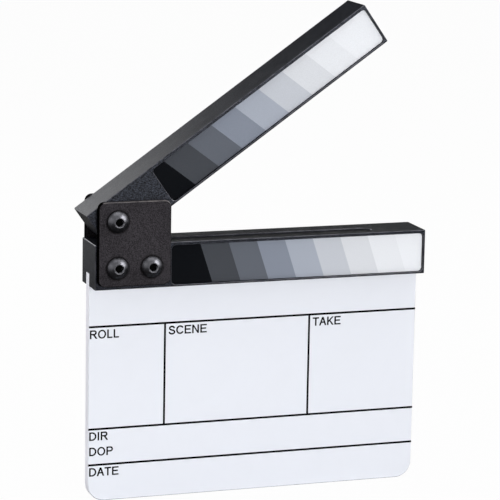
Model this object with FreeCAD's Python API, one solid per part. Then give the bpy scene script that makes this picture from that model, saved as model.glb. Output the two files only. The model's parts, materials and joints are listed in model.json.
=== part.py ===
import FreeCAD, Part
import math
import os

from FreeCAD import Placement, Rotation, Vector

# A small film clapperboard. A white writing board hangs from a slot in the lower stick.
# The upper stick is the clapping arm: it turns on a sleeve between two hinge plates.
# Millimetres. +X runs along the sticks away from the hinge, +Y to the back and +Z up.
# The origin is the middle of the board's bottom edge.

# Sticks
LENGTH = 124.0            # both sticks and the board, end to end
STICK_HEIGHT = 16.0
STICK_DEPTH = 16.4        # front to back, lower stick
STICK_GAP = 0.4           # between the closed sticks
STICK_CHAMFER = 0.2
OPEN_ANGLE = 35.2         # degrees that the arm stands open

# Writing board and its slot
BOARD_DROP = 78.2         # board showing below the lower stick
BOARD_THICKNESS = 4.0
BOARD_SETBACK = 7.4       # from the lower stick's front to the board's front
BOARD_FOOT_RADIUS = 6.0
BOARD_HEAD_RADIUS = 0.8
BOARD_CHAMFER = 0.2
SLOT_DEPTH = 5.4
SLOT_PLAY = 0.1           # behind the board

# Set screws that clamp the board from behind
SET_SCREW_COUNT = 3
SET_SCREW_RADIUS = 1.5
SET_SCREW_SINK = 1.0      # below the rear face
SET_SCREW_SOCKET = 1.5    # across flats
SET_SCREW_SOCKET_DEPTH = 1.6
SET_SCREW_HINGE_END = 38.0
SET_SCREW_FAR_END = 14.0

# Grey-scale windows and strips
WINDOW_GAP = 0.95         # from the front hinge plate to a window
WINDOW_RIM = 0.65         # stick left below and beyond a window
WINDOW_TOP_RIM = 1.2      # stick left above a window
WINDOW_RADIUS = 1.5
WINDOW_DEPTH = 2.0
WINDOW_CHAMFER = 0.2
STRIP_THICKNESS = 0.8
STRIP_PLAY = 0.1

# Groove on the lower stick, its steel keeper, and the magnets in the arm
GROOVE_WIDTH = 6.6
GROOVE_DEPTH = 0.9
GROOVE_CHAMFER = 0.25
GROOVE_SETBACK = 5.85     # from the lower stick's front to the groove's middle
GROOVE_HINGE_END = 14.0
GROOVE_FAR_END = 18.8
KEEPER_THICKNESS = 0.4
KEEPER_PLAY = 0.1
MAGNET_COUNT = 2
MAGNET_RADIUS = 2.4
MAGNET_THICKNESS = 3.0
MAGNET_SINK = 0.15
MAGNET_PLAY = 0.05
MAGNET_PITCH = 36.0
MAGNET_FAR_END = 28.0

# Hinge plates
PLATE_THICKNESS = 2.0
FRONT_PLATE_SIDE = 7.0    # screw centres to the plate's left and right edges
REAR_PLATE_SIDE = 6.5
FRONT_PLATE_HEAD = 7.0    # pivot to the plate's upper edge
REAR_PLATE_HEAD = 6.8
PLATE_FOOT = 6.6          # plate screw centres to the plate's lower edge
PLATE_RADIUS = 2.5
PLATE_CHAMFER = 0.3
PLATE_HOLE_PLAY = 0.2

# Screws: button heads with hex sockets
SCREW_FROM_END = 7.6      # hinge end to the pivot and to the first plate screw
SCREW_PITCH = 12.4        # between the two plate screws
SCREW_RADIUS = 2.0
SCREW_PLAY = 0.05         # between a screw and its tapped hole
SCREW_TIP = 0.4
PLATE_SCREW_BITE = 4.0    # length in the stick
TAP_RUNOUT = 0.8          # tapped hole past the screw's tip
PIVOT_TIP_GAP = 4.0       # between the two pivot screws inside the sleeve
HEAD_RADIUS = 3.8
HEAD_HEIGHT = 2.2
HEAD_RIM = 0.3
HEAD_FLAT_RADIUS = 1.8
SOCKET_WIDTH = 2.5        # across flats
SOCKET_DEPTH = 1.4
SOCKET_MOUTH = 0.4

# Pivot sleeve and friction washers
SLEEVE_WALL = 1.45
WASHER_WIDTH = 2.5
WASHER_THICKNESS = 0.5
WASHER_PLAY = 0.1         # round a washer in its seat in the arm
RUNNING_PLAY = 0.05
ARM_PLAY = 0.1            # between the arm and each hinge plate

# Places that several pieces share
HINGE_END = -LENGTH / 2
FAR_END = LENGTH / 2
BOARD_FRONT = -BOARD_THICKNESS / 2
BOARD_REAR = BOARD_THICKNESS / 2
FRONT = BOARD_FRONT - BOARD_SETBACK
REAR = FRONT + STICK_DEPTH
STICK_BOTTOM = BOARD_DROP
STICK_TOP = STICK_BOTTOM + STICK_HEIGHT
ARM_BOTTOM = STICK_TOP + STICK_GAP
ARM_TOP = ARM_BOTTOM + STICK_HEIGHT
ARM_FRONT = FRONT + ARM_PLAY
ARM_REAR = REAR - ARM_PLAY
PIVOT_X = HINGE_END + SCREW_FROM_END
PIVOT_Z = ARM_BOTTOM + STICK_HEIGHT / 2
PLATE_SCREW_Z = STICK_BOTTOM + STICK_HEIGHT / 2
PLATE_SCREW_X = {"outer": PIVOT_X, "inner": PIVOT_X + SCREW_PITCH}
GROOVE_Y = FRONT + GROOVE_SETBACK
WINDOW_LEFT = PLATE_SCREW_X["inner"] + FRONT_PLATE_SIDE + WINDOW_GAP
WINDOW_RIGHT = FAR_END - WINDOW_RIM
SCREW_HOLE_RADIUS = SCREW_RADIUS + SCREW_PLAY
SLEEVE_RADIUS = SCREW_HOLE_RADIUS + SLEEVE_WALL
WASHER_HOLE = SLEEVE_RADIUS + RUNNING_PLAY
WASHER_RADIUS = WASHER_HOLE + WASHER_WIDTH

# The tail behind the pivot stays within half the stick's height, to clear the lower stick as it swings.
TAIL = min(SCREW_FROM_END, STICK_HEIGHT / 2)

UP = Vector(0, 0, 1)
TO_FRONT = Vector(0, -1, 0)
TO_REAR = Vector(0, 1, 0)
FACES = {"front": (FRONT, TO_FRONT), "rear": (REAR, TO_REAR)}
NEAR = 1e-4               # tolerance when edges are picked by their place


def box(left, right, front, rear, bottom, top):
    """Box between two corners."""
    return Part.makeBox(right - left, rear - front, top - bottom, Vector(left, front, bottom))


def rounded_sheet(left, right, bottom, top, low_radius, high_radius, front, thickness):
    """Upright sheet with rounded corners: low_radius at the lower two, high_radius at the upper two."""
    corners = [
        (left + low_radius, bottom + low_radius, low_radius, 180),
        (right - low_radius, bottom + low_radius, low_radius, 270),
        (right - high_radius, top - high_radius, high_radius, 0),
        (left + high_radius, top - high_radius, high_radius, 90),
    ]
    arcs = []
    for x, z, radius, start in corners:
        turns = [math.radians(start + step) for step in (0, 45, 90)]
        arcs.append([Vector(x + radius * math.cos(t), front, z + radius * math.sin(t)) for t in turns])
    edges = []
    for arc, following in zip(arcs, arcs[1:] + arcs[:1]):
        edges.append(Part.Arc(*arc).toShape())
        edges.append(Part.makeLine(arc[-1], following[0]))
    return Part.Face(Part.Wire(edges)).extrude(Vector(0, thickness, 0))


def round_ended_bar(left, right, middle_y, width, bottom, top):
    """Flat bar along X whose two ends are half circles."""
    radius = width / 2
    height = top - bottom
    bar = box(left + radius, right - radius, middle_y - radius, middle_y + radius, bottom, top)
    for x in (left + radius, right - radius):
        bar = bar.fuse(Part.makeCylinder(radius, height, Vector(x, middle_y, bottom)))
    return bar.removeSplitter()


def rod(radius, x, z, from_y, to_y):
    """Cylinder along Y."""
    return Part.makeCylinder(radius, to_y - from_y, Vector(x, from_y, z), TO_REAR)


def hexagon_prism(across_flats, bottom, top):
    """Upright hexagonal prism on the Z axis."""
    sides = 6
    corner_radius = across_flats / 2 / math.cos(math.pi / sides)
    turns = [2 * math.pi * step / sides for step in range(sides + 1)]
    points = [Vector(corner_radius * math.cos(t), corner_radius * math.sin(t), bottom) for t in turns]
    return Part.Face(Part.makePolygon(points)).extrude(Vector(0, 0, top - bottom))


def edges_in_plane(shape, y):
    """Edges of a shape that lie in the plane at this Y."""
    return [e for e in shape.Edges if abs(e.BoundBox.YMin - y) < NEAR and abs(e.BoundBox.YMax - y) < NEAR]


def swing_open(shape):
    """Turn a piece of the closed arm to its open place."""
    opened = shape.copy()
    opened.rotate(Vector(PIVOT_X, 0, PIVOT_Z), TO_FRONT, OPEN_ANGLE)
    return opened


def slate_board():
    """White board with its upper edge in the lower stick's slot."""
    sheet = rounded_sheet(HINGE_END, FAR_END, 0, STICK_BOTTOM + SLOT_DEPTH,
                          BOARD_FOOT_RADIUS, BOARD_HEAD_RADIUS, BOARD_FRONT, BOARD_THICKNESS)
    rims = edges_in_plane(sheet, BOARD_FRONT) + edges_in_plane(sheet, BOARD_REAR)
    return sheet.makeChamfer(BOARD_CHAMFER, rims)


def window_bounds(bottom):
    """Left, right, lower and upper limits of the grey-scale window of a stick with this underside."""
    return WINDOW_LEFT, WINDOW_RIGHT, bottom + WINDOW_RIM, bottom + STICK_HEIGHT - WINDOW_TOP_RIM


def cut_window(stick, bottom, front):
    """Sink the grey-scale window into a stick's front and break the window's edge."""
    left, right, low, high = window_bounds(bottom)
    pocket = rounded_sheet(left, right, low, high, WINDOW_RADIUS, WINDOW_RADIUS, front, WINDOW_DEPTH)
    stick = stick.cut(pocket)
    mouth = [e for e in edges_in_plane(stick, front)
             if e.BoundBox.XMin > left - NEAR and e.BoundBox.XMax < right + NEAR
             and e.BoundBox.ZMin > low - NEAR and e.BoundBox.ZMax < high + NEAR]
    return stick.makeChamfer(WINDOW_CHAMFER, mouth)


def grey_strip(bottom, front):
    """Printed strip on the floor of a stick's window."""
    left, right, low, high = window_bounds(bottom)
    radius = WINDOW_RADIUS - STRIP_PLAY
    return rounded_sheet(left + STRIP_PLAY, right - STRIP_PLAY, low + STRIP_PLAY, high - STRIP_PLAY,
                         radius, radius, front + WINDOW_DEPTH - STRIP_THICKNESS, STRIP_THICKNESS)


def spread(first, last, count):
    """Evenly spaced places from first to last."""
    return [first + (last - first) * step / (count - 1) for step in range(count)]


SET_SCREW_X = spread(HINGE_END + SET_SCREW_HINGE_END, FAR_END - SET_SCREW_FAR_END, SET_SCREW_COUNT)
SET_SCREW_Z = STICK_BOTTOM + SLOT_DEPTH / 2
MAGNET_X = [FAR_END - MAGNET_FAR_END - MAGNET_PITCH * step for step in range(MAGNET_COUNT)]


def groove_mouth(bar, groove):
    """Edges where the groove opens in the top of the bar."""
    limits = groove.BoundBox
    limits.enlarge(NEAR)
    return [e for e in bar.Edges if e.BoundBox.ZMin > STICK_TOP - NEAR and limits.isInside(e.BoundBox)]


def lower_stick():
    """Bar with the board's slot, the grey-scale window, the keeper's groove and its tapped holes."""
    bar = box(HINGE_END, FAR_END, FRONT, REAR, STICK_BOTTOM, STICK_TOP)
    bar = bar.makeChamfer(STICK_CHAMFER, bar.Edges)
    bar = cut_window(bar, STICK_BOTTOM, FRONT)
    slot = rounded_sheet(HINGE_END, FAR_END, STICK_BOTTOM - 2 * BOARD_HEAD_RADIUS, STICK_BOTTOM + SLOT_DEPTH,
                         BOARD_HEAD_RADIUS, BOARD_HEAD_RADIUS, BOARD_FRONT, BOARD_THICKNESS + SLOT_PLAY)
    bar = bar.cut(slot)
    groove = round_ended_bar(HINGE_END + GROOVE_HINGE_END, FAR_END - GROOVE_FAR_END,
                             GROOVE_Y, GROOVE_WIDTH, STICK_TOP - GROOVE_DEPTH, STICK_TOP)
    bar = bar.cut(groove)
    bar = bar.makeChamfer(GROOVE_CHAMFER, groove_mouth(bar, groove))
    tap_depth = PLATE_SCREW_BITE + TAP_RUNOUT
    for x in PLATE_SCREW_X.values():
        bar = bar.cut(rod(SCREW_HOLE_RADIUS, x, PLATE_SCREW_Z, FRONT, FRONT + tap_depth))
        bar = bar.cut(rod(SCREW_HOLE_RADIUS, x, PLATE_SCREW_Z, REAR - tap_depth, REAR))
    for x in SET_SCREW_X:
        bar = bar.cut(rod(SET_SCREW_RADIUS + SCREW_PLAY, x, SET_SCREW_Z, BOARD_REAR, REAR))
    return bar


def upper_stick():
    """Clapping arm, closed: a bar with a rounded lower corner, a window, washer seats and magnet pockets."""
    centre_z = ARM_BOTTOM + TAIL
    turns = [math.radians(degrees) for degrees in (180, 225, 270)]
    tail = [Vector(PIVOT_X + TAIL * math.cos(t), ARM_FRONT, centre_z + TAIL * math.sin(t)) for t in turns]
    corners = [tail[-1], Vector(FAR_END, ARM_FRONT, ARM_BOTTOM), Vector(FAR_END, ARM_FRONT, ARM_TOP),
               Vector(PIVOT_X - TAIL, ARM_FRONT, ARM_TOP), tail[0]]
    outline = Part.Wire([Part.Arc(*tail).toShape()] + Part.makePolygon(corners).Edges)
    bar = Part.Face(outline).extrude(Vector(0, ARM_REAR - ARM_FRONT, 0))
    square_corners = [(p.x, p.z) for p in corners[1:4]]
    rims = edges_in_plane(bar, ARM_FRONT) + edges_in_plane(bar, ARM_REAR)
    for edge in bar.Edges:
        middle = edge.CenterOfMass
        if any(abs(middle.x - x) < NEAR and abs(middle.z - z) < NEAR for x, z in square_corners):
            rims.append(edge)
    bar = bar.makeChamfer(STICK_CHAMFER, rims)
    bar = cut_window(bar, ARM_BOTTOM, ARM_FRONT)
    bar = bar.cut(rod(WASHER_HOLE, PIVOT_X, PIVOT_Z, ARM_FRONT, ARM_REAR))
    seat_depth = WASHER_THICKNESS + RUNNING_PLAY
    seat_radius = WASHER_RADIUS + WASHER_PLAY
    bar = bar.cut(rod(seat_radius, PIVOT_X, PIVOT_Z, FRONT, FRONT + seat_depth))
    bar = bar.cut(rod(seat_radius, PIVOT_X, PIVOT_Z, REAR - seat_depth, REAR))
    pocket_radius = MAGNET_RADIUS + MAGNET_PLAY
    pocket_depth = MAGNET_SINK + MAGNET_THICKNESS
    for x in MAGNET_X:
        bar = bar.cut(Part.makeCylinder(pocket_radius, pocket_depth, Vector(x, GROOVE_Y, ARM_BOTTOM)))
    return bar


def keeper_strip():
    """Steel strip on the floor of the lower stick's groove."""
    left = HINGE_END + GROOVE_HINGE_END + KEEPER_PLAY
    right = FAR_END - GROOVE_FAR_END - KEEPER_PLAY
    floor = STICK_TOP - GROOVE_DEPTH
    return round_ended_bar(left, right, GROOVE_Y, GROOVE_WIDTH - 2 * KEEPER_PLAY,
                           floor, floor + KEEPER_THICKNESS)


def closing_magnet(x):
    """Disc magnet sunk just below the closed arm's underside."""
    return Part.makeCylinder(MAGNET_RADIUS, MAGNET_THICKNESS, Vector(x, GROOVE_Y, ARM_BOTTOM + MAGNET_SINK))


def hinge_plate(face, side, head):
    """Rounded plate over both sticks at the hinge end, with three screw holes and a broken outer edge."""
    seat, outwards = FACES[face]
    outer = seat + PLATE_THICKNESS * outwards.y
    front = min(seat, outer)
    plate = rounded_sheet(PLATE_SCREW_X["outer"] - side, PLATE_SCREW_X["inner"] + side,
                          PLATE_SCREW_Z - PLATE_FOOT, PIVOT_Z + head,
                          PLATE_RADIUS, PLATE_RADIUS, front, PLATE_THICKNESS)
    plate = plate.makeChamfer(PLATE_CHAMFER, edges_in_plane(plate, outer))
    holes = [(x, PLATE_SCREW_Z) for x in PLATE_SCREW_X.values()] + [(PIVOT_X, PIVOT_Z)]
    for x, z in holes:
        plate = plate.cut(rod(SCREW_RADIUS + PLATE_HOLE_PLAY, x, z, front, front + PLATE_THICKNESS))
    return plate


def button_screw(shank):
    """Button-head screw on the Z axis: its head stands on the plane z = 0, its shank hangs below."""
    # The dome is part of a sphere centred on the axis, through the rim's top and the flat's edge.
    rise = HEAD_HEIGHT - HEAD_RIM
    centre = (HEAD_FLAT_RADIUS ** 2 + HEAD_HEIGHT ** 2 - HEAD_RADIUS ** 2 - HEAD_RIM ** 2) / (2 * rise)
    dome_radius = math.hypot(HEAD_RADIUS, HEAD_RIM - centre)
    middle_r = (HEAD_RADIUS + HEAD_FLAT_RADIUS) / 2
    middle_z = centre + math.sqrt(dome_radius ** 2 - middle_r ** 2)
    rim = Vector(HEAD_RADIUS, 0, HEAD_RIM)
    flat = Vector(HEAD_FLAT_RADIUS, 0, HEAD_HEIGHT)
    dome = Part.Arc(rim, Vector(middle_r, 0, middle_z), flat).toShape()
    below = Part.makePolygon([Vector(0, 0, -shank), Vector(SCREW_RADIUS - SCREW_TIP, 0, -shank),
                              Vector(SCREW_RADIUS, 0, SCREW_TIP - shank), Vector(SCREW_RADIUS, 0, 0),
                              Vector(HEAD_RADIUS, 0, 0), rim])
    above = Part.makePolygon([flat, Vector(0, 0, HEAD_HEIGHT), Vector(0, 0, -shank)])
    profile = Part.Face(Part.Wire(below.Edges + [dome] + above.Edges))
    screw = profile.revolve(Vector(0, 0, 0), UP, 360)
    screw = screw.cut(hexagon_prism(SOCKET_WIDTH, HEAD_HEIGHT - SOCKET_DEPTH, HEAD_HEIGHT))
    inner = SOCKET_WIDTH / 2
    mouth_bottom = Vector(0, 0, HEAD_HEIGHT - SOCKET_MOUTH)
    return screw.cut(Part.makeCone(inner, inner + SOCKET_MOUTH, SOCKET_MOUTH, mouth_bottom))


def seated_screw(face, x, z, bite):
    """Button-head screw through a hinge plate, with this much of its shank past the plate."""
    seat, outwards = FACES[face]
    screw = button_screw(PLATE_THICKNESS + bite)
    place = Vector(x, seat + PLATE_THICKNESS * outwards.y, z)
    screw.Placement = Placement(place, Rotation(UP, outwards))
    return screw


def board_set_screw(x):
    """Headless screw from the rear face to the board, with its hex socket outwards."""
    length = REAR - SET_SCREW_SINK - BOARD_REAR
    screw = Part.makeCylinder(SET_SCREW_RADIUS, length)
    screw = screw.cut(hexagon_prism(SET_SCREW_SOCKET, length - SET_SCREW_SOCKET_DEPTH, length))
    screw.Placement = Placement(Vector(x, BOARD_REAR, SET_SCREW_Z), Rotation(UP, TO_REAR))
    return screw


def pivot_sleeve():
    """Threaded tube between the two plates that the arm turns on."""
    tube = rod(SLEEVE_RADIUS, PIVOT_X, PIVOT_Z, FRONT, REAR)
    return tube.cut(rod(SCREW_HOLE_RADIUS, PIVOT_X, PIVOT_Z, FRONT, REAR))


def friction_washer(face):
    """Thin ring between a hinge plate and its seat in the arm."""
    seat, outwards = FACES[face]
    inner_face = seat - WASHER_THICKNESS * outwards.y
    front = min(seat, inner_face)
    rear = max(seat, inner_face)
    ring = rod(WASHER_RADIUS, PIVOT_X, PIVOT_Z, front, rear)
    return ring.cut(rod(WASHER_HOLE, PIVOT_X, PIVOT_Z, front, rear))


def all_pieces():
    """Every piece by the name of its node, with the arm open."""
    pieces = {
        "slate_board": slate_board(),
        "lower_stick": lower_stick(),
        "lower_grey_strip": grey_strip(STICK_BOTTOM, FRONT),
        "keeper_strip": keeper_strip(),
        "hinge_plate_front": hinge_plate("front", FRONT_PLATE_SIDE, FRONT_PLATE_HEAD),
        "hinge_plate_rear": hinge_plate("rear", REAR_PLATE_SIDE, REAR_PLATE_HEAD),
        "pivot_sleeve": pivot_sleeve(),
        "upper_stick": swing_open(upper_stick()),
        "upper_grey_strip": swing_open(grey_strip(ARM_BOTTOM, ARM_FRONT)),
    }
    pivot_bite = (STICK_DEPTH - PIVOT_TIP_GAP) / 2
    for face in FACES:
        pieces[f"pivot_screw_{face}"] = seated_screw(face, PIVOT_X, PIVOT_Z, pivot_bite)
        pieces[f"friction_washer_{face}"] = friction_washer(face)
        for place, x in PLATE_SCREW_X.items():
            pieces[f"plate_screw_{face}_{place}"] = seated_screw(face, x, PLATE_SCREW_Z, PLATE_SCREW_BITE)
    for number, x in enumerate(SET_SCREW_X, start=1):
        pieces[f"board_set_screw_{number}"] = board_set_screw(x)
    for number, x in enumerate(MAGNET_X, start=1):
        pieces[f"closing_magnet_{number}"] = swing_open(closing_magnet(x))
    return pieces


os.makedirs("parts", exist_ok=True)
for name, piece in all_pieces().items():
    piece.exportStep(f"parts/{name}.step")
    print(f"{name}: {len(piece.Solids)} solid, {piece.Volume:.1f} mm3, valid {piece.isValid()}")
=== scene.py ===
"""Looks of a small film clapperboard: its finishes, its printed board and a plain studio round the frame."""

import json
import logging
import math
from collections.abc import Mapping
from dataclasses import dataclass, field, replace
from enum import Enum
from functools import cached_property
from typing import Any

import bpy
import numpy as np
from mathutils import Matrix, Vector
from mathutils.geometry import tessellate_polygon


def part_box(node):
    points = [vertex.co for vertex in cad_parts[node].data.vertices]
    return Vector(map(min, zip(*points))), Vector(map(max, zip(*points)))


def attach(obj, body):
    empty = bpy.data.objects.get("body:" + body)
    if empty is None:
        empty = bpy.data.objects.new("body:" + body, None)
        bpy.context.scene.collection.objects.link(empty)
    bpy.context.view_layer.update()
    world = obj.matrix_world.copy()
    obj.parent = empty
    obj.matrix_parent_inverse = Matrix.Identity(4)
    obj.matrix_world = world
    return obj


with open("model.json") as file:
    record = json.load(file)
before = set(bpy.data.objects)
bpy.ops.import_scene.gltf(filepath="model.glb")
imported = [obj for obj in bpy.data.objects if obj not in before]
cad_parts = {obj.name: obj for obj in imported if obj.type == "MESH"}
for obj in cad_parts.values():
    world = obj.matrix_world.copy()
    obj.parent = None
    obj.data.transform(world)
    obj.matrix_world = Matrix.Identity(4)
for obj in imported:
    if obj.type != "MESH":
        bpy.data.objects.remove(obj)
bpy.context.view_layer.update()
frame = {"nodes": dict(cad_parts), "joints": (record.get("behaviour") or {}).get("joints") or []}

MM = 0.001
PRINTERS_POINT = 25.4 / 72
LOG = logging.getLogger("clapperboard")

Colour = tuple[float, float, float, float]
Point = tuple[float, float, float]
Range = tuple[float, float]
Array = np.ndarray
Outlines = list[Array]
Shell = tuple[Array, list[list[int]]]
Tree = bpy.types.NodeTree
Node = bpy.types.Node
Socket = bpy.types.NodeSocket
Material = bpy.types.Material

BLACK: Colour = (0.0, 0.0, 0.0, 1.0)
WHITE: Colour = (1.0, 1.0, 1.0, 1.0)
RISING: Range = (0.0, 1.0)
FALLING: Range = (1.0, 0.0)
ONE_FACE = [[0, 1, 2, 3]]
# Colour sockets of the Mix node, by number
MIX_FIRST, MIX_SECOND, MIX_RESULT = 6, 7, 2


class Side(Enum):
    """The two sides of the hinge."""

    FRONT = "front"
    REAR = "rear"


def srgb(red: float, green: float, blue: float) -> Colour:
    """Turn a screen colour of 0 to 255 into the linear colour that shaders take, by the sRGB curve."""
    level = np.array((red, green, blue)) / 255
    return (*np.where(level <= 0.04045, level / 12.92, ((level + 0.055) / 1.055) ** 2.4).tolist(), 1.0)


def scaled(colour: Colour, factor: float) -> Colour:
    """Make a colour lighter or darker by a factor, with an alpha of 1."""
    return (*(part * factor for part in colour[:3]), 1.0)


class Graph:
    """Adds nodes to a node tree and joins their sockets."""

    def __init__(self, tree: Tree) -> None:
        """Work on this tree."""
        self.tree = tree

    def feed(self, socket: Socket, value: Any) -> None:
        """Join a socket to another socket, or set it to a constant.

        Args:
            socket: The input socket.
            value: An output socket, or the constant.
        """
        if isinstance(value, Socket):
            self.tree.links.new(value, socket)
        else:
            socket.default_value = value

    def add(self, kind: str, inputs: Mapping[int | str, Any] | None = None, **settings: Any) -> Node:
        """Add a node.

        Args:
            kind: The node's type name, without its ShaderNode prefix.
            inputs: Sockets or constants for the node's inputs, by name or number.
            **settings: The node's own settings.

        Returns:
            The new node.
        """
        node = self.tree.nodes.new(f"ShaderNode{kind}")
        for name, setting in settings.items():
            setattr(node, name, setting)
        for key, value in (inputs or {}).items():
            self.feed(node.inputs[key], value)
        return node

    def math(self, operation: str, first: Any, second: Any = 0.0, clamp: bool = False) -> Socket:
        """Work out one value from two; clamped, it stays between 0 and 1."""
        return self.add("Math", {0: first, 1: second}, operation=operation, use_clamp=clamp).outputs[0]

    def remap(self, value: Any, old: Range, new: Range) -> Socket:
        """Carry a value from its old range to a new one with a soft start and end."""
        inputs = {"Value": value, "From Min": old[0], "From Max": old[1], "To Min": new[0], "To Max": new[1]}
        return self.add("MapRange", inputs, interpolation_type="SMOOTHSTEP").outputs["Result"]

    def blend(self, share: Any, first: Any, second: Any) -> Socket:
        """Blend two colours, by the share of the second one."""
        inputs = {0: share, MIX_FIRST: first, MIX_SECOND: second}
        return self.add("Mix", inputs, data_type="RGBA").outputs[MIX_RESULT]

    def noise(self, place: Socket, scale: Any, detail: float, **inputs: float) -> Socket:
        """Cloudy noise from 0 to 1, with further inputs by name."""
        values = {"Vector": place, "Scale": scale, "Detail": detail, **inputs}
        return self.add("TexNoise", values).outputs["Fac"]

    def parts(self, vector: Socket) -> Any:
        """The sockets of a vector's X, Y and Z."""
        return self.add("SeparateXYZ", {0: vector}).outputs


def start_group(name: str, inputs: tuple[str, ...], outputs: tuple[str, ...]) -> tuple[Graph, Any, Any]:
    """Start a shader node group, with numbers for all sockets but vectors, normals and colours.

    Args:
        name: The group's name.
        inputs: Names of its inputs.
        outputs: Names of its outputs.

    Returns:
        The group's graph, its input sockets and its output sockets.
    """
    kinds = {"Vector": "Vector", "Normal": "Vector", "Color": "Color"}
    tree = bpy.data.node_groups.new(name, "ShaderNodeTree")
    for way, labels in (("INPUT", inputs), ("OUTPUT", outputs)):
        for label in labels:
            kind = kinds.get(label, "Float")
            tree.interface.new_socket(name=label, in_out=way, socket_type=f"NodeSocket{kind}")
    taken = tree.nodes.new("NodeGroupInput").outputs
    given = tree.nodes.new("NodeGroupOutput").inputs
    return Graph(tree), taken, given


@dataclass(frozen=True)
class SharedEffects:
    """Shader node groups that several finishes use, each built once.

    The ranges are the parts of a noise or of a normal over which an effect comes in.
    """

    speck_fineness: float = 1.9
    speck_range: Range = (0.32, 0.68)
    edge_range: Range = (0.97, 0.80)
    wear_range: Range = (0.3, 0.62)
    least_wear: float = 0.3
    smudge_range: Range = (0.36, 0.66)
    smudge_raggedness: float = 0.6
    line_stretch: Point = (0.06, 1.0, 1.0)
    line_level: float = 0.5
    line_width: float = 0.016
    gap_coarseness: float = 0.11
    gap_range: Range = (0.5, 0.62)

    @cached_property
    def grain(self) -> Tree:
        """Fine blasted or sprayed grain: soft bumps with small pits between them, and a colour speckle."""
        graph, taken, given = start_group("fine_grain", ("Vector", "Size"), ("Speckle", "Height"))
        place, scale = taken["Vector"], graph.math("DIVIDE", 1.0, taken["Size"])
        bumps = graph.noise(place, scale, detail=2.0)
        pits = graph.add("TexVoronoi", {"Vector": place, "Scale": scale}).outputs["Distance"]
        specks = graph.noise(place, graph.math("MULTIPLY", scale, self.speck_fineness), detail=1.0)
        graph.feed(given["Speckle"], graph.remap(specks, self.speck_range, RISING))
        graph.feed(given["Height"], graph.math("DIVIDE", graph.math("ADD", bumps, pits), 2.0))
        return graph.tree

    @cached_property
    def edge_wear(self) -> Tree:
        """Rubbed edges with a painted highlight on them: a mask of the faces that lie across a piece's main
        directions, broken up by noise.
        """
        graph, taken, given = start_group("rubbed_and_sheened_edges", ("Normal", "Vector", "Size"), ("Mask",))
        upright = graph.add("VectorMath", {0: taken["Normal"]}, operation="ABSOLUTE").outputs[0]
        parts = graph.parts(upright)
        largest = graph.math("MAXIMUM", graph.math("MAXIMUM", parts[0], parts[1]), parts[2])
        across = graph.remap(largest, self.edge_range, RISING)
        noise = graph.noise(taken["Vector"], graph.math("DIVIDE", 1.0, taken["Size"]), detail=3.0)
        wear_and_sheen = graph.remap(noise, self.wear_range, (self.least_wear, 1.0))
        graph.feed(given["Mask"], graph.math("MULTIPLY", across, wear_and_sheen))
        return graph.tree

    @cached_property
    def handling(self) -> Tree:
        """Smudges from handling: large soft patches with ragged borders."""
        graph, taken, given = start_group("handling_smudges", ("Vector", "Size"), ("Mask",))
        ragged = self.smudge_raggedness
        scale = graph.math("DIVIDE", 1.0, taken["Size"])
        noise = graph.noise(taken["Vector"], scale, detail=5.0, Roughness=ragged, Distortion=ragged)
        graph.feed(given["Mask"], graph.remap(noise, self.smudge_range, RISING))
        return graph.tree

    @cached_property
    def scratches(self) -> Tree:
        """Hairline scratches along X: narrow contours of a noise that is stretched, with gaps in them."""
        graph, taken, given = start_group("hairlines", ("Vector", "Size"), ("Mask",))
        scale = graph.math("DIVIDE", 1.0, taken["Size"])
        long = graph.add("Mapping", {"Vector": taken["Vector"], "Scale": self.line_stretch}).outputs[0]
        lines = graph.noise(long, scale, detail=1.0)
        away = graph.math("ABSOLUTE", graph.math("SUBTRACT", lines, self.line_level))
        thin = graph.remap(away, (0.0, self.line_width), FALLING)
        gaps = graph.noise(taken["Vector"], graph.math("MULTIPLY", scale, self.gap_coarseness), detail=2.0)
        graph.feed(given["Mask"], graph.math("MULTIPLY", thin, graph.remap(gaps, self.gap_range, RISING)))
        return graph.tree


EFFECTS = SharedEffects()


@dataclass(frozen=True)
class Surface:
    """The graph of a material under construction, with the sockets that finishes read."""

    graph: Graph
    shader: Node
    place: Socket
    normal: Socket

    def put(self, name: str, value: Socket) -> None:
        """Join a pattern to the shader's input of this name."""
        self.graph.feed(self.shader.inputs[name], value)

    def effect(self, group: Tree, size: float, **inputs: Any) -> Any:
        """Place a shared effect with features of this size in metres, and give its output sockets."""
        values = {"Vector": self.place, "Size": size, **inputs}
        return self.graph.add("Group", values, node_tree=group).outputs

    def emboss(self, height: Socket, depth: float, strength: float) -> None:
        """Raise the surface by a height from 0 to 1, in a relief of this depth in metres."""
        bump = self.graph.add("Bump", {"Height": height, "Distance": depth, "Strength": strength})
        self.put("Normal", bump.outputs["Normal"])

    def axis_distance(self, shift: Point = (0.0, 0.0, 0.0)) -> Socket:
        """Distance from an axis along Y.

        Args:
            shift: Shift that brings the axis to X 0 and Z 0.

        Returns:
            Socket of the distance in metres.
        """
        place = self.graph.add("Mapping", {"Vector": self.place, "Location": shift}).outputs[0]
        parts = self.graph.parts(place)
        flat = self.graph.add("CombineXYZ", {0: parts[0], 1: parts[2]}).outputs[0]
        return self.graph.add("VectorMath", {0: flat}, operation="LENGTH").outputs["Value"]


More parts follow.
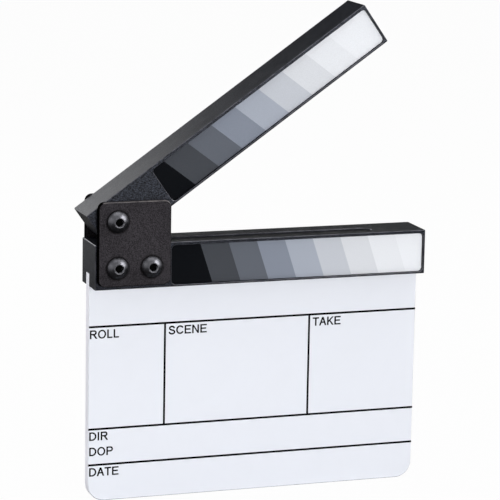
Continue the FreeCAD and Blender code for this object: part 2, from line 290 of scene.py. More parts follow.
@dataclass(frozen=True)
class Finish:
    """A surface finish. Its fields are what stays the same all over the surface."""

    name: str
    colour: Colour
    roughness: float
    metallic: float = 0.0
    specular: float = 0.5
    grazing: float = 1.0

    def material(self, turn: Matrix | None = None) -> Material:
        """Build the finish: constant values on the shader's own sockets, then the patterns.

        Args:
            turn: Turn and shift from the piece's place to the place that the pattern is laid out in.

        Returns:
            The material.
        """
        material = bpy.data.materials.new(self.name)
        material.use_nodes = True
        graph = Graph(material.node_tree)
        shader = material.node_tree.nodes["Principled BSDF"]
        constants = {"Base Color": self.colour, "Roughness": self.roughness, "Metallic": self.metallic,
                     "Specular IOR Level": self.specular, "Specular Tint": scaled(WHITE, self.grazing)}
        for name, value in constants.items():
            shader.inputs[name].default_value = value
        source = graph.add("TexCoord").outputs
        place, normal = source["Object"], source["Normal"]
        if turn is not None:
            shift, angles = tuple(turn.translation), tuple(turn.to_euler())
            place = graph.add("Mapping", {"Vector": place, "Location": shift, "Rotation": angles}).outputs[0]
            turned = graph.add("Mapping", {"Vector": normal, "Rotation": angles}, vector_type="VECTOR")
            normal = turned.outputs[0]
        self.paint(Surface(graph, shader, place, normal))
        return material

    def paint(self, made: Surface) -> None:
        """Add the finish's patterns to its surface. A plain finish has none."""

    def patchy_gloss(self, made: Surface, mask: Socket, swing: float) -> None:
        """Make the surface rougher by the swing where the mask is 0, and smoother where it is 1."""
        limits = (self.roughness + swing, self.roughness - swing)
        made.put("Roughness", made.graph.remap(mask, RISING, limits))


@dataclass(frozen=True, kw_only=True)
class GrainedFinish(Finish):
    """Blasted, anodised or sprayed metal: fine grain, smudges, and edges painted lighter, partly as wear and
    partly as painted highlight.
    """

    edge_colour: Colour
    grain_size: float = 0.5 * MM
    grain_depth: float = 0.01 * MM
    grain_strength: float = 0.5
    speckle: float = 0.35
    smudge_size: float = 14 * MM
    smudge: float = 0.10
    scratch_size: float = 0.8 * MM
    scratch: float = 0.0
    wear_size: float = 2.5 * MM
    # share of the lighter edge colour kept on edges that face sideways and down; below 1 it is painted light
    # from above
    level_wear: float = 1.0
    upward_range: Range = (0.2, 0.6)

    def tint(self, made: Surface, colour: Socket) -> Socket:
        """Leave the colour as it is; finishes with one more colour change it here."""
        return colour

    def paint(self, made: Surface) -> None:
        """Add speckled colour, lighter edges that are partly wear and partly painted highlight, patchy gloss
        and grain in relief.

        Args:
            made: The surface.
        """
        graph = made.graph
        grain = made.effect(EFFECTS.grain, self.grain_size)
        dark, light = scaled(self.colour, 1 - self.speckle), scaled(self.colour, 1 + self.speckle)
        speckled = graph.blend(grain["Speckle"], dark, light)
        # painted light from above: edges that face up keep all of the lighter colour, edges that face
        # sideways and down keep only a share of it
        lit_from_above = graph.remap(graph.parts(made.normal)[2], self.upward_range, (self.level_wear, 1.0))
        # lighter chamfers: partly edge wear, partly a painted highlight
        wear_and_sheen = made.effect(EFFECTS.edge_wear, self.wear_size, Normal=made.normal)["Mask"]
        edges = graph.math("MULTIPLY", wear_and_sheen, lit_from_above)
        lines = made.effect(EFFECTS.scratches, self.scratch_size)["Mask"]
        wear_sheen_and_scratches = graph.math("MAXIMUM", edges, graph.math("MULTIPLY", lines, self.scratch))
        made.put("Base Color", self.tint(made, graph.blend(wear_sheen_and_scratches, speckled, self.edge_colour)))
        smudges = made.effect(EFFECTS.handling, self.smudge_size)["Mask"]
        self.patchy_gloss(made, smudges, self.smudge)
        made.emboss(grain["Height"], self.grain_depth, self.grain_strength)


@dataclass(frozen=True, kw_only=True)
class PlateFinish(GrainedFinish):
    """Textured black plates: grained metal, with painted shade on the faces that look along -X and a painted
    contact shadow round the screws.
    """

    # painted shade: the faces that look along -X are coloured dead black, as if no light reached them
    end_colour: Colour = (0.002, 0.002, 0.002, 1.0)
    end_range: Range = (-0.15, -0.35)
    screw_shifts: tuple[Matrix, ...] = ()
    head_radius: float = 3.8 * MM
    # painted shadow: a dark ring round each screw head, where the head would shade the plate
    grime_reach: float = 1.0 * MM
    grime: float = 0.8

    def tint(self, made: Surface, colour: Socket) -> Socket:
        """Paint shade on the faces that look along -X, and a painted contact shadow in a soft ring round each
        screw head.

        Args:
            made: The surface.
            colour: The metal's colour.

        Returns:
            The colour with the painted shade and the painted shadow in it.
        """
        graph = made.graph
        # painted shade on the faces that look along -X
        black = graph.remap(graph.parts(made.normal)[0], self.end_range, RISING)
        limits = (self.head_radius, self.head_radius + self.grime_reach)
        # a painted contact shadow in a soft ring round each screw head
        for shift in self.screw_shifts:
            ring = graph.remap(made.axis_distance(tuple(shift.translation)), limits, (self.grime, 0.0))
            black = graph.math("MAXIMUM", black, ring)
        return graph.blend(black, colour, self.end_colour)


@dataclass(frozen=True, kw_only=True)
class SocketedFinish(GrainedFinish):
    """Black screws along Y: the grained metal, with painted shade darkening the socket round the axis."""

    socket_radius: float = 1.25 * MM
    socket_border: float = 0.1 * MM
    # painted shade in the screw's socket, where the hollow is dark
    socket_colour: Colour = (0.001, 0.001, 0.001, 1.0)

    def tint(self, made: Surface, colour: Socket) -> Socket:
        """Paint shade into the socket.

        Args:
            made: The surface, laid out round the screw's axis.
            colour: The metal's colour.

        Returns:
            The colour with the dark socket in it.
        """
        limits = (self.socket_radius, self.socket_radius + self.socket_border)
        # painted shade in the socket round the axis
        socket_shade = made.graph.remap(made.axis_distance(), limits, FALLING)
        return made.graph.blend(socket_shade, colour, self.socket_colour)


@dataclass(frozen=True, kw_only=True)
class AcrylicFinish(Finish):
    """Opaque white acrylic: satin faces with faint wipe marks, cut edges painted lighter as painted light and
    slightly bluer, and painted shade along the foot.
    """

    # painted light: the cut edges get a lighter, slightly bluer colour than the face, making up for the light
    # they lack
    edge_colour: Colour
    edge_range: Range = (0.2, 0.6)
    # painted shade on the faces that look down, along the board's foot
    foot_colour: Colour
    foot_range: Range = (-0.2, -0.6)
    cloud_size: float = 30 * MM
    cloud_shade: float = 0.985
    wipe_size: float = 1.2 * MM
    mark_roughness: float = 0.08
    ripple_depth: float = 0.01 * MM
    ripple_strength: float = 0.3

    def paint(self, made: Surface) -> None:
        """Add faint clouds, painted light on the cut edges, painted shade on the faces that look down, wipe
        marks in the gloss and a slight ripple.

        Args:
            made: The surface.
        """
        graph = made.graph
        outward = graph.parts(made.normal)
        # painted light on the cut edges
        cut_edge = graph.remap(graph.math("ABSOLUTE", outward[1]), self.edge_range, FALLING)
        # painted shade on the faces that look down
        foot = graph.remap(outward[2], self.foot_range, RISING)
        clouds = made.effect(EFFECTS.handling, self.cloud_size)["Mask"]
        face = graph.blend(clouds, self.colour, scaled(self.colour, self.cloud_shade))
        shaded = graph.blend(foot, face, self.foot_colour)
        made.put("Base Color", graph.blend(cut_edge, shaded, self.edge_colour))
        wipes = made.effect(EFFECTS.scratches, self.wipe_size)["Mask"]
        marks = graph.math("MULTIPLY", graph.math("ADD", clouds, wipes), self.mark_roughness)
        made.put("Roughness", graph.math("ADD", marks, self.roughness))
        made.emboss(clouds, self.ripple_depth, self.ripple_strength)


@dataclass(frozen=True)
class InkFinish(Finish):
    """Screen-printed ink: nearly black, with the fine unevenness of a printed film."""

    grain_size: float = 0.3 * MM
    thin_shade: float = 1.6
    thin_roughness: float = 0.05

    def paint(self, made: Surface) -> None:
        """Add a speckle, lighter and rougher where the film is thin.

        Args:
            made: The surface.
        """
        speckle = made.effect(EFFECTS.grain, self.grain_size)["Speckle"]
        made.put("Base Color", made.graph.blend(speckle, self.colour, scaled(self.colour, self.thin_shade)))
        self.patchy_gloss(made, speckle, -self.thin_roughness)


@dataclass(frozen=True)
class GreyScaleFinish(Finish):
    """Printed grey scale: equal steps from black to white with leaning borders.

    The borders run on from one closed stick to the other, so the pattern is laid out on the closed sticks.
    """

    steps: int = 9
    pitch: float = 10.53 * MM
    first_border: float = -23.7 * MM
    border_height: float = 94.4 * MM
    lean: float = 0.33
    black: float = 10.0
    white: float = 246.0
    curve: float = 1.8
    first_lift: float = 14.0
    cool_cast: Point = (-8.0, -2.0, 10.0)
    cast_floor: float = 0.4
    cast_peak: float = 0.75
    cast_middle: float = 0.42
    cast_reach: float = 0.2
    grain_size: float = 0.4 * MM
    grain_depth: float = 0.01 * MM
    grain_strength: float = 0.3
    speckle: float = 0.06
    smudge_size: float = 12 * MM
    smudge: float = 0.06

    def step_colour(self, number: int) -> Colour:
        """Colour of one step.

        The level rises from black to white as 1 - (1 - t) ** curve, with a cool cast that is strongest in the
        middle greys. The first grey is a little lifted.

        Args:
            number: The step, from 0 for black.

        Returns:
            The step's linear colour.
        """
        share = number / (self.steps - 1)
        level = self.black + (self.white - self.black) * (1 - (1 - share) ** self.curve)
        if number == 1:
            level += self.first_lift
        swell = math.exp(-((share - self.cast_middle) / self.cast_reach) ** 2)
        cast = self.cast_floor + self.cast_peak * swell
        return srgb(*(level + cast * part for part in self.cool_cast))

    @cached_property
    def step_group(self) -> Tree:
        """Shader group that turns a place on the closed sticks into the printed colour."""
        graph, taken, given = start_group("grey_steps", ("Vector",), ("Color",))
        slope = {0: taken["Vector"], 1: (1.0, 0.0, self.lean)}
        along = graph.add("VectorMath", slope, operation="DOT_PRODUCT").outputs["Value"]
        start = self.first_border - self.pitch + self.lean * self.border_height
        past = graph.math("SUBTRACT", along, start)
        number = graph.math("FLOOR", graph.math("DIVIDE", past, self.pitch))
        middle = graph.math("DIVIDE", graph.math("ADD", number, 0.5), self.steps, clamp=True)
        ramp = graph.add("ValToRGB", {"Fac": middle})
        ramp.color_ramp.interpolation = "CONSTANT"
        stops = ramp.color_ramp.elements
        stops.remove(stops[-1])
        stops[0].color = self.step_colour(0)
        for step in range(1, self.steps):
            stops.new(step / self.steps).color = self.step_colour(step)
        graph.feed(given["Color"], ramp.outputs["Color"])
        return graph.tree

    def paint(self, made: Surface) -> None:
        """Add the steps, a fine grain and patchy gloss.

        Args:
            made: The surface, laid out on the closed sticks.
        """
        graph = made.graph
        printed = graph.add("Group", {"Vector": made.place}, node_tree=self.step_group).outputs["Color"]
        grain = made.effect(EFFECTS.grain, self.grain_size)
        specks = graph.math("MULTIPLY", grain["Speckle"], self.speckle)
        made.put("Base Color", graph.blend(specks, printed, BLACK))
        smudges = made.effect(EFFECTS.handling, self.smudge_size)["Mask"]
        self.patchy_gloss(made, smudges, self.smudge)
        made.emboss(grain["Height"], self.grain_depth, self.grain_strength)


class Finishes:
    """Every finish on the object."""

    sticks = GrainedFinish(
        "stick_black", srgb(33, 35, 41), 0.31, metallic=0.5, specular=0.15, grazing=0.8,
        edge_colour=srgb(84, 84, 90), grain_size=0.6 * MM, grain_depth=0.07 * MM, grain_strength=0.8,
        speckle=0.8, smudge=0.03, scratch=0.12)
    plates = PlateFinish(
        "plate_black", srgb(46, 44, 47), 0.66, metallic=1.0, grazing=0.3, edge_colour=srgb(92, 89, 89),
        grain_depth=0.1 * MM, grain_strength=0.9, speckle=0.5, smudge=0.05, level_wear=0.1)
    screws = SocketedFinish(
        "screw_black", srgb(80, 80, 84), 0.38, metallic=1.0, grazing=0.5, edge_colour=srgb(80, 80, 84),
        grain_depth=0.02 * MM, smudge_size=3 * MM, smudge=0.06)
    set_screws = replace(screws, socket_radius=0.75 * MM)
    keeper = GrainedFinish(
        "keeper_steel", srgb(24, 24, 27), 0.42, metallic=0.6, edge_colour=srgb(80, 80, 84), scratch=0.5)
    sleeve = GrainedFinish(
        "bare_steel", srgb(186, 186, 188), 0.28, metallic=1.0, edge_colour=srgb(205, 205, 205),
        grain_size=0.3 * MM, grain_depth=0.005 * MM, speckle=0.10, scratch=0.4)
    magnets = GrainedFinish(
        "magnet_nickel", srgb(200, 195, 186), 0.20, metallic=1.0, edge_colour=srgb(214, 208, 198),
        grain_size=0.4 * MM, grain_depth=0.004 * MM, speckle=0.06, smudge_size=2 * MM, smudge=0.05,
        scratch=0.5)
    washers = GrainedFinish(
        "washer_nylon", srgb(226, 224, 214), 0.45, edge_colour=srgb(236, 234, 226), speckle=0.05)
    board = AcrylicFinish(
        "board_acrylic", srgb(238, 241, 249), 0.30, edge_colour=srgb(247, 247, 255),
        foot_colour=srgb(110, 112, 130))
    ink = InkFinish("board_ink", srgb(5, 5, 6), 0.6, specular=0.02)
    grey_scale = GreyScaleFinish("grey_scale", srgb(128, 128, 128), 0.55, specular=0.03)


def dress(material: Material, *names: str) -> None:
    """Give a material to the material slots of CAD nodes.

    Args:
        material: The finish.
        *names: The nodes.
    """
    for name in names:
        for holder in frame["nodes"][name].material_slots:
            holder.material = material
        LOG.info("%s: %s", name, material.name)


def axis_shift(name: str) -> Matrix:
    """Shift that lays a pattern out round a screw along Y.

    Args:
        name: The screw's node.

    Returns:
        The shift from the middle of the screw's box to the Y axis.
    """
    low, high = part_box(name)
    middle = (low + high) / 2
    return Matrix.Translation((-middle.x, 0.0, -middle.z))


def show(data: bpy.types.ID) -> bpy.types.Object:
    """Put an object into the scene.

    Args:
        data: Its mesh, lamp or camera, with the object's name.

    Returns:
        The object.
    """
    shown = bpy.data.objects.new(data.name, data)
    bpy.context.scene.collection.objects.link(shown)
    return shown


def show_mesh(name: str, points: Array, faces: list[list[int]], material: Material) -> bpy.types.Object:
    """Put a mesh of one material into the scene.

    Args:
        name: The object's name.
        points: Its points in metres.
        faces: Its faces by point numbers.
        material: Its finish.

    Returns:
        The object.
    """
    mesh = bpy.data.meshes.new(name)
    mesh.from_pydata(points, [], faces)
    mesh.materials.append(material)
    return show(mesh)


def walls(following: Array) -> Array:
    """Faces between two layers of points, from the number of the point that follows each on its outline."""
    ring = np.arange(len(following))
    return np.stack((ring, following, following + len(ring), ring + len(ring)), axis=1)


def sweep(profile: Array, path: Array, across: Array, out: Array) -> Shell:
    """Carry a closed profile along a straight path and close both ends.

    A point of profile (a, b) at path point p is p + a * across + b * out.

    Args:
        profile: Points of the profile, n by 2, counter-clockwise seen against the path.
        path: Start and end of the path, 2 by 3.
        across: Direction of the profile's first axis.
        out: Direction of the profile's second axis.

    Returns:
        The points and the faces.
    """
    section = profile[:, :1] * across + profile[:, 1:] * out
    points = (path[:, None, :] + section[None]).reshape(-1, 3)
    count = len(profile)
    ring = np.arange(count)
    faces = walls(np.roll(ring, -1)).tolist() + [ring[::-1].tolist(), (ring + count).tolist()]
    return points, faces


def slab(outlines: Outlines) -> Shell:
    """Thicken flat outlines to a closed slab.

    Args:
        outlines: Borders counter-clockwise and holes clockwise, n by 2 each.

    Returns:
        The points with their layer, 0 behind and 1 in front, and the faces by point numbers.
    """
    flat = np.concatenate(outlines)
    count = len(flat)
    points = np.concatenate([np.column_stack((flat, np.full(count, layer))) for layer in (0.0, 1.0)])
    front = np.array(tessellate_polygon([outline.tolist() for outline in outlines]))
    one, two, three = (flat[front[:, corner]] for corner in range(3))
    clockwise = np.cross(two - one, three - one) < 0
    front[clockwise] = front[clockwise, ::-1]
    starts = np.cumsum([0] + [len(outline) for outline in outlines[:-1]])
    rings = [start + np.roll(np.arange(len(outline)), -1) for start, outline in zip(starts, outlines)]
    faces = walls(np.concatenate(rings)).tolist() + (front + count).tolist() + front[:, ::-1].tolist()
    return points, faces


def joined(shells: list[Shell]) -> Shell:
    """Join shells to one.

    Args:
        shells: The points and faces of each.

    Returns:
        All points, and the faces with their new point numbers.
    """
    firsts = np.cumsum([0] + [len(points) for points, _ in shells[:-1]]).tolist()
    faces = [[first + corner for corner in face] for first, shell in zip(firsts, shells) for face in shell[1]]
    return np.concatenate([points for points, _ in shells]), faces


@dataclass(frozen=True)
class Capitals:
    """Plain capitals as flat outlines, in parts of the type size from the pen's place on the baseline."""

    parts: float = 1000.0
    height: float = 735.0
    stem: float = 134.0
    bar: float = 118.0
    slant: float = 143.0
    side: float = 61.0
    margin: float = 34.0
    overshoot: float = 12.0
    waist: float = 380.0
    arc_points: int = 24
    advances: Mapping[str, float] = field(default_factory=lambda: dict(
        A=667.0, C=722.0, D=722.0, E=667.0, I=278.0, K=667.0, L=556.0, N=722.0, O=778.0, P=667.0, R=722.0,
        S=667.0, T=611.0))

    @property
    def inner(self) -> float:
        """Right side of a letter's first stem."""
        return self.side + self.stem

    def arc(self, centre: Range, reach: Range, start: float, end: float) -> Array:
        """Arc of an ellipse with this half width and half height, between two angles in degrees."""
        angle = np.radians(np.linspace(start, end, self.arc_points))
        return np.array(centre) + np.column_stack((np.cos(angle), np.sin(angle))) * reach

    def ribbon(self, path: Array) -> Array:
        """Outline of a stroke as wide as a stem.

        Args:
            path: The stroke's middle line.

        Returns:
            The outline, counter-clockwise.
        """
        along = np.gradient(path, axis=0)
        right = along[:, ::-1] * (1.0, -1.0) / np.linalg.norm(along, axis=1, keepdims=True) * self.stem / 2
        return np.concatenate((path + right, (path - right)[::-1]))

    def bowl(self, left: float, low: float, high: float, right: float) -> Array:
        """Outline with a straight left side and a half circle on the right.

        Args:
            left: Place of the straight side.
            low: Bottom.
            high: Top.
            right: Place of the half circle's right end.

        Returns:
            The outline, counter-clockwise from its lower left corner.
        """
        radius = (high - low) / 2
        curve = self.arc((right - radius, low + radius), (radius, radius), -90, 90)
        return np.concatenate((((left, low),), curve, ((left, high),)))

    def bowled(self, foot: list[Range], low: float, right: float, joint: int = 1) -> Outlines:
        """A letter with a bowl at its head.

        Args:
            foot: The border below the bowl, from the lower left corner on.
            low: Outer bottom of the bowl.
            right: Outer right end of the bowl.
            joint: Number of the bowl's point that follows the foot.

        Returns:
            The border, and the hole between the stem and the bowl.
        """
        border = self.bowl(self.side, low, self.height, right)[joint:]
        hole = self.bowl(self.inner, low + self.bar, self.height - self.bar, right - self.stem)
        return [np.concatenate((foot, border)), hole[::-1]]

    def letter_a(self) -> Outlines:
        """Two leaning legs with a bar."""
        low = 217.0
        high = low + self.bar
        wide, tip = self.advances["A"], self.slant / 2
        middle = wide / 2
        run = (middle - tip) / self.height
        below, above = self.slant + run * low, self.slant + run * high
        border = ((0, 0), (self.slant, 0), (below, low), (wide - below, low), (wide - self.slant, 0),
                  (wide, 0), (middle + tip, self.height), (middle - tip, self.height))
        hole = ((above, high), (middle, (middle - self.slant) / run), (wide - above, high))
        return [np.array(border), np.array(hole)]

    def letter_c(self) -> Outlines:
        """A round stroke that is open on the right."""
        spread, upper_tip, lower_tip = 23.6, 33.0, 330.0
        half, middle = self.stem / 2, self.height / 2
        reach = (self.advances["C"] / 2 - self.margin - half + spread, middle + self.overshoot - half)
        return [self.ribbon(self.arc((self.margin + half + reach[0], middle), reach, upper_tip, lower_tip))]

    def letter_d(self) -> Outlines:
        """A stem with one large bowl."""
        return self.bowled([(self.side, 0)], 0, self.advances["D"] - self.margin)

    def letter_e(self) -> Outlines:
        """A stem with three bars, the middle one shorter."""
        left, stem, right, half = self.side, self.inner, self.advances["E"] - self.margin, self.bar / 2
        low, high, head, end = self.waist - half, self.waist + half, self.height - self.bar, right - half
        return [np.array((
            (left, 0), (right, 0), (right, self.bar), (stem, self.bar), (stem, low), (end, low), (end, high),
            (stem, high), (stem, head), (right, head), (right, self.height), (left, self.height)))]

    def letter_i(self) -> Outlines:
        """A stem alone."""
        left = (self.advances["I"] - self.stem) / 2
        right = left + self.stem
        return [np.array(((left, 0), (right, 0), (right, self.height), (left, self.height)))]

    def letter_k(self) -> Outlines:
        """A stem with a rising arm, and a leg that leaves the arm."""
        arm_low, arm_end, arm_width = 236.0, 658.0, 158.0
        root, crook = 282.0, 359.0
        left, stem, right, top = self.side, self.inner, self.advances["K"], self.height
        rise = (top - arm_low) / (arm_end - stem)
        return [np.array((
            (left, 0), (stem, 0), (stem, arm_low), (root, arm_low + rise * (root - stem)),
            (right - arm_width, 0), (right, 0), (crook, arm_low + rise * (crook - stem)), (arm_end, top),
            (arm_end - arm_width, top), (stem, top - rise * (arm_end - arm_width - stem)), (stem, top),
            (left, top)))]

    def letter_l(self) -> Outlines:
        """A stem with a bar at its foot."""
        left, stem, right, top = self.side, self.inner, self.advances["L"] - self.margin, self.height
        return [np.array((
            (left, 0), (right, 0), (right, self.bar), (stem, self.bar), (stem, top), (left, top)))]

    def letter_n(self) -> Outlines:
        """Two stems with a stroke that falls from the first to the second."""
        left, stem, right, top = self.side, self.inner, self.advances["N"] - self.side, self.height
        second = right - self.stem
        notch = top * self.stem / (second - left)
        return [np.array((
            (left, 0), (stem, 0), (stem, top - notch), (second, 0), (right, 0), (right, top), (second, top),
            (second, notch), (stem, top), (left, top)))]

    def letter_o(self) -> Outlines:
        """A round stroke."""
        centre = (self.advances["O"] / 2, self.height / 2)
        outer = np.array((centre[0] - self.margin, centre[1] + self.overshoot))
        last = 360 - 360 / self.arc_points
        inner = outer - (self.stem, self.bar)
        return [self.arc(centre, outer, 0, last), self.arc(centre, inner, last, 0)]

    def letter_p(self) -> Outlines:
        """A stem with a bowl at its head."""
        low = 291.0
        foot = [(self.side, 0), (self.inner, 0), (self.inner, low)]
        return self.bowled(foot, low, self.advances["P"] - self.margin)

    def letter_r(self) -> Outlines:
        """A stem with a bowl at its head and a leg that joins the bowl from below."""
        low, right, joint = 318.0, 651.0, 3
        leg_root, leg_foot, leg_width = 332.0, 563.0, 150.0
        foot = [(self.side, 0), (self.inner, 0), (self.inner, low), (leg_root, low), (leg_foot, 0),
                (leg_foot + leg_width, 0)]
        return self.bowled(foot, low, right, joint)

    def letter_s(self) -> Outlines:
        """One stroke through two bowls, the lower one larger."""
        upper_centre, upper_reach, upper_angles = (328.0, 538.0), np.array((263.0, 212.0)), (-7.0, 245.0)
        lower_centre, lower_reach, lower_angles = (338.0, 207.0), np.array((293.0, 222.0)), (65.0, -190.0)
        upper = self.arc(upper_centre, upper_reach - self.stem / 2, *upper_angles)
        lower = self.arc(lower_centre, lower_reach - self.stem / 2, *lower_angles)
        return [self.ribbon(np.concatenate((upper, lower)))]

    def letter_t(self) -> Outlines:
        """A stem under a bar, with a trace of ink in the two corners between them."""
        wide, top, head = self.advances["T"], self.height, self.height - self.bar
        left, right, tip = (wide - self.stem) / 2, (wide + self.stem) / 2, self.margin / 2
        corner = head - self.overshoot
        return [np.array((
            (left, 0), (right, 0), (right, corner), (wide - tip, head), (wide - tip, top), (tip, top),
            (tip, head), (left, corner)))]

    def word(self, letters: str) -> Shell:
        """Set a word.

        Args:
            letters: The word.

        Returns:
            The word's points with their layer, and its faces.
        """
        shells, pen = [], 0.0
        for letter in letters:
            outlines = getattr(self, f"letter_{letter.lower()}")()
            shells.append(slab([outline + (pen, 0.0) for outline in outlines]))
            pen += self.advances[letter]
        return joined(shells)


@dataclass(frozen=True)
class Heading:
    """A printed word: where its first letter starts and its baseline, in millimetres on the board."""

    word: str
    left: float
    baseline: float


@dataclass
class WritingBoard:
    """The white board with its printed ruling and headings. Lengths are in millimetres."""

    rows: tuple[float, ...] = (63.55, 26.36, 13.24)
    columns: tuple[float, ...] = (-33.93, 20.66)
    line_weight: float = 0.75
    ink_thickness: float = 0.04
    shoulder: float = 0.02
    type_size: float = 12 * PRINTERS_POINT
    body: str = "slate"
    slot: str = "board_acrylic"
    capitals: Capitals = Capitals()
    headings: tuple[Heading, ...] = (
        Heading("ROLL", -61.88, 59.27),
        Heading("SCENE", -32.75, 59.24),
        Heading("TAKE", 21.93, 59.27),
        Heading("DIR", -61.87, 22.20),
        Heading("DOP", -61.84, 16.60),
        Heading("DATE", -61.82, 9.08),
    )
    face: float = field(init=False)
    left: float = field(init=False)
    right: float = field(init=False)

    def __post_init__(self) -> None:
        """Take the board's front face and its ends from the frame."""
        low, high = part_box("slate_board")
        self.face = low.y / MM
        self.left = low.x / MM
        self.right = high.x / MM

    def stamp(self, name: str, points: Array, faces: list[list[int]], ink: Material) -> None:
        """Add a film of ink to the board.

        Args:
            name: The film's name.
            points: Its points in millimetres.
            faces: Its faces by point numbers.
            ink: The ink's finish.
        """
        piece = show_mesh(name, points * MM, faces, ink)
        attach(piece, self.body)
        LOG.info("%s: %d faces, on %s", name, len(faces), self.body)

    def line_profile(self) -> Array:
        """Section of a ruled line: a thin film with broken shoulders, standing on the board."""
        half = self.line_weight / 2
        top, side = half - self.shoulder, self.ink_thickness - self.shoulder
        return np.array(((-half, 0.0), (half, 0.0), (half, side), (top, self.ink_thickness),
                         (-top, self.ink_thickness), (-half, side)))

    def rule(self, ink: Material) -> None:
        """Print the ruling in thin films: full rows, and columns that end at the rows' borders.

        Args:
            ink: The ink's finish.
        """
        half, profile = self.line_weight / 2, self.line_profile()
        along, up, out = np.array((1.0, 0, 0)), np.array((0, 0, 1.0)), np.array((0, -1.0, 0))
        start, end = self.left + self.shoulder, self.right - self.shoulder
        foot, head = self.rows[1] + half, self.rows[0] - half
        bars = []
        for row in self.rows:
            path = np.array(((start, self.face, row), (end, self.face, row)))
            bars.append(sweep(profile, path, up, out))
        for column in self.columns:
            path = np.array(((column, self.face, foot), (column, self.face, head)))
            bars.append(sweep(profile, path, -along, out))
        self.stamp("board_ruling", *joined(bars), ink)

    def letter(self, ink: Material) -> None:
        """Print the headings in thin films: plain capitals on the board's face.

        Args:
            ink: The ink's finish.
        """
        for heading in self.headings:
            points, faces = self.capitals.word(heading.word)
            flat = points[:, :2] * self.type_size / self.capitals.parts + (heading.left, heading.baseline)
            out = self.face - points[:, 2] * self.ink_thickness
            film = np.column_stack((flat[:, 0], out, flat[:, 1]))
            self.stamp(f"heading_{heading.word.lower()}", film, faces, ink)

    def build(self) -> None:
        """Dress the board and print it."""
        dress(Finishes.board.material(), "slate_board")
        ink = Finishes.ink.material()
        self.rule(ink)
        self.letter(ink)


@dataclass
class LowerStick:
    """The lower stick with its grey scale, keeper strip and the board's set screws."""

    set_screws: int = 3

    def build(self) -> None:
        """Dress every piece."""
        dress(Finishes.sticks.material(), "lower_stick")
        dress(Finishes.grey_scale.material(), "lower_grey_strip")
        dress(Finishes.keeper.material(), "keeper_strip")
        for number in range(self.set_screws):
            name = f"board_set_screw_{number + 1}"
            dress(Finishes.set_screws.material(axis_shift(name)), name)


@dataclass
class ClappingArm:
    """The upper stick with its grey scale and magnets. It stands open at rest."""

    magnets: int = 2

    def closing_turn(self) -> Matrix:
        """Turn about the hinge's pivot that closes the open arm."""
        hinge = frame["joints"][0]
        pivot = Matrix.Translation(Vector(hinge["pos_m"]))
        turn = Matrix.Rotation(math.radians(hinge["range_deg"][0]), 4, Vector(hinge["axis"]))
        return pivot @ turn @ pivot.inverted()

    def build(self) -> None:
        """Dress every piece, with patterns laid out on the closed arm."""
        turn = self.closing_turn()
        dress(Finishes.sticks.material(turn), "upper_stick")
        dress(Finishes.grey_scale.material(turn), "upper_grey_strip")
        names = [f"closing_magnet_{number + 1}" for number in range(self.magnets)]
        dress(Finishes.magnets.material(), *names)


@dataclass
class HingeSet:
    """The hinge: two plates, six button-head screws, the pivot sleeve and two friction washers."""

    screws: tuple[str, ...] = ("pivot_screw_{}", "plate_screw_{}_outer", "plate_screw_{}_inner")

    def build(self) -> None:
        """Dress every piece."""
        for side in Side:
            names = [pattern.format(side.value) for pattern in self.screws]
            shifts = tuple(axis_shift(name) for name in names)
            dress(replace(Finishes.plates, screw_shifts=shifts).material(), f"hinge_plate_{side.value}")
            for name, shift in zip(names, shifts):
                dress(Finishes.screws.material(shift), name)
        dress(Finishes.sleeve.material(), "pivot_sleeve")
        dress(Finishes.washers.material(), *(f"friction_washer_{side.value}" for side in Side))


@dataclass(frozen=True)
class SoftBox:
    """A soft lamp that points at a place, in metres and watts."""

    name: str
    place: Point
    width: float
    height: float
    power: float
    aim: Point = (0.0, 0.0, 0.09)
    glint_only: bool = False

    def hang(self) -> None:
        """Put the lamp into the scene, unseen by the camera itself."""
        light = bpy.data.lights.new(self.name, "AREA")
        light.shape = "RECTANGLE"
        light.size = self.width
        light.size_y = self.height
        light.energy = self.power
        lamp = show(light)
        lamp.location = self.place
        lamp.rotation_euler = (Vector(self.aim) - Vector(self.place)).to_track_quat("-Z", "Y").to_euler()
        lamp.visible_camera = False
        lamp.visible_diffuse = not self.glint_only


@dataclass(frozen=True)
class DarkCard:
    """A dark card that shapes the reflections, given by three corners in metres; only reflections see it."""

    name: str
    corner: Point
    along: Point
    beside: Point
    shade: float = 12.0
    roughness: float = 0.9

    def stand(self) -> None:
        """Put the card into the scene."""
        start = np.array(self.corner)
        first, second = np.array(self.along) - start, np.array(self.beside) - start
        corners = np.stack((start, start + first, start + first + second, start + second))
        finish = Finish(self.name, srgb(*[self.shade] * 3), self.roughness, specular=0.0)
        card = show_mesh(self.name, corners, ONE_FACE, finish.material())
        card.visible_camera = False
        card.visible_diffuse = False
        card.visible_shadow = False


def blank_graph(owner: Any) -> Graph:
    """Start afresh on a node tree.

    Args:
        owner: The material or world.

    Returns:
        The graph of its emptied tree.
    """
    owner.use_nodes = True
    owner.node_tree.nodes.clear()
    return Graph(owner.node_tree)


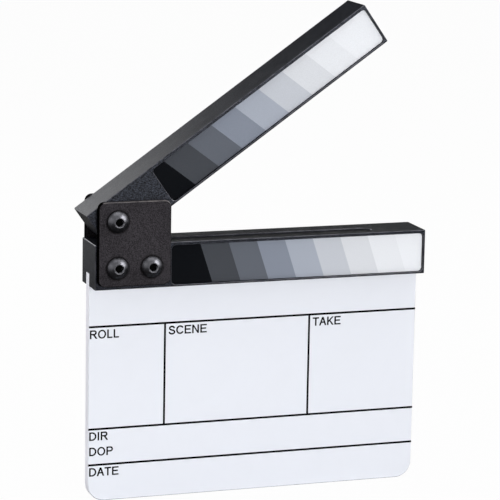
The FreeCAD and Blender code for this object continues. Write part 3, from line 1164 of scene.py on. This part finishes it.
@dataclass
class Studio:
    """A white floor, an even white surround, soft lamps and the camera. Lengths are in metres."""

    camera_place: Point = (-0.32209, -0.91226, 0.27980)
    azimuth: float = 19.346
    elevation: float = 11.219
    roll: float = 1.0516
    lens: float = 198.44
    sensor: float = 36.0
    floor_reach: float = 8.0
    floor_colour: Colour = (0.70, 0.70, 0.70, 1.0)
    floor_glow: float = 0.97
    surround: float = 0.30
    lamps: tuple[SoftBox, ...] = (
        SoftBox("front_box", (0.243, -1.37, 0.18), 0.9, 0.45, 11.4),
        SoftBox("left_box", (-1.2, -0.25, 0.25), 1.2, 0.9, 4.0),
        SoftBox("right_box", (0.93, -0.50, 0.68), 0.8, 0.8, 21.0, glint_only=True),
        SoftBox("top_box", (0.0, -0.1, 1.25), 1.0, 0.7, 5.5),
        SoftBox("rear_box", (-0.40, 0.62, 0.33), 0.5, 0.45, 2.7),
    )
    cards: tuple[DarkCard, ...] = (
        DarkCard("upper_card", (-0.08, 0.55, 0.28), (1.2, 0.55, 0.28), (-0.08, 0.55, 1.0)),
        DarkCard("lower_card", (-0.02, 0.55, 0.0), (1.2, 0.55, 0.0), (-0.02, 0.55, 0.28), 140.0),
        DarkCard("front_card", (-0.8, -1.2, 0.002), (0.8, -1.2, 0.002), (-0.8, 0.05, 0.002), 80.0),
        DarkCard("rear_card", (-0.4, 0.06, 0.002), (0.4, 0.06, 0.002), (-0.4, 0.54, 0.002), 95.0),
    )

    @staticmethod
    def background_ray(graph: Graph) -> Socket:
        """Find the rays that look at the background: straight, by reflection or through glass.

        Args:
            graph: The graph of the material or world.

        Returns:
            Socket of the mask.
        """
        path = graph.add("LightPath").outputs
        seen = graph.math("MAXIMUM", path["Is Camera Ray"], path["Is Glossy Ray"])
        return graph.math("MAXIMUM", seen, path["Is Transmission Ray"])

    def hang_surround(self) -> None:
        """Light the scene evenly from all round, with white where the background itself is seen."""
        world = bpy.data.worlds.new("studio_surround")
        graph = blank_graph(world)
        light = graph.add("Background", {"Color": WHITE, "Strength": self.surround})
        white = graph.add("Background", {"Color": WHITE, "Strength": 1.0})
        share = self.background_ray(graph)
        mixed = graph.add("MixShader", {0: share, 1: light.outputs[0], 2: white.outputs[0]})
        graph.add("OutputWorld", {"Surface": mixed.outputs[0]})
        bpy.context.scene.world = world

    def lay_floor(self) -> None:
        """Lay a white floor that keeps the object's shadow."""
        material = bpy.data.materials.new("studio_floor")
        graph = blank_graph(material)
        matt = graph.add("BsdfDiffuse", {"Color": self.floor_colour})
        glow = graph.add("Emission", {"Color": WHITE, "Strength": 1.0})
        share = graph.math("MULTIPLY", self.background_ray(graph), self.floor_glow)
        mixed = graph.add("MixShader", {0: share, 1: matt.outputs[0], 2: glow.outputs[0]})
        graph.add("OutputMaterial", {"Surface": mixed.outputs[0]})
        corners = self.floor_reach * np.array(((-1, -1, 0), (1, -1, 0), (1, 1, 0), (-1, 1, 0)), float)
        floor = show_mesh("studio_floor", corners, ONE_FACE, material)

    def place_camera(self) -> None:
        """Put the camera at the photograph's place and turn: level heading, then tilt, then roll."""
        lens = bpy.data.cameras.new("camera")
        lens.lens = self.lens
        lens.sensor_width = self.sensor
        camera = show(lens)
        heading = Matrix.Rotation(math.radians(-self.azimuth), 4, "Z")
        tilt = Matrix.Rotation(math.radians(90 - self.elevation), 4, "X")
        roll = Matrix.Rotation(math.radians(self.roll), 4, "Z")
        camera.matrix_world = Matrix.Translation(self.camera_place) @ heading @ tilt @ roll
        bpy.context.scene.camera = camera

    def build(self) -> None:
        """Set up the whole studio."""
        bpy.context.scene.view_settings.view_transform = "Standard"
        self.hang_surround()
        self.lay_floor()
        for lamp in self.lamps:
            lamp.hang()
        for card in self.cards:
            card.stand()
        self.place_camera()


def main() -> None:
    """Build the sub-assemblies in order, then the studio."""
    logging.basicConfig(level=logging.INFO, format="%(message)s")
    for assembly in (WritingBoard(), LowerStick(), ClappingArm(), HingeSet(), Studio()):
        assembly.build()


if __name__ == "__main__":
    main()
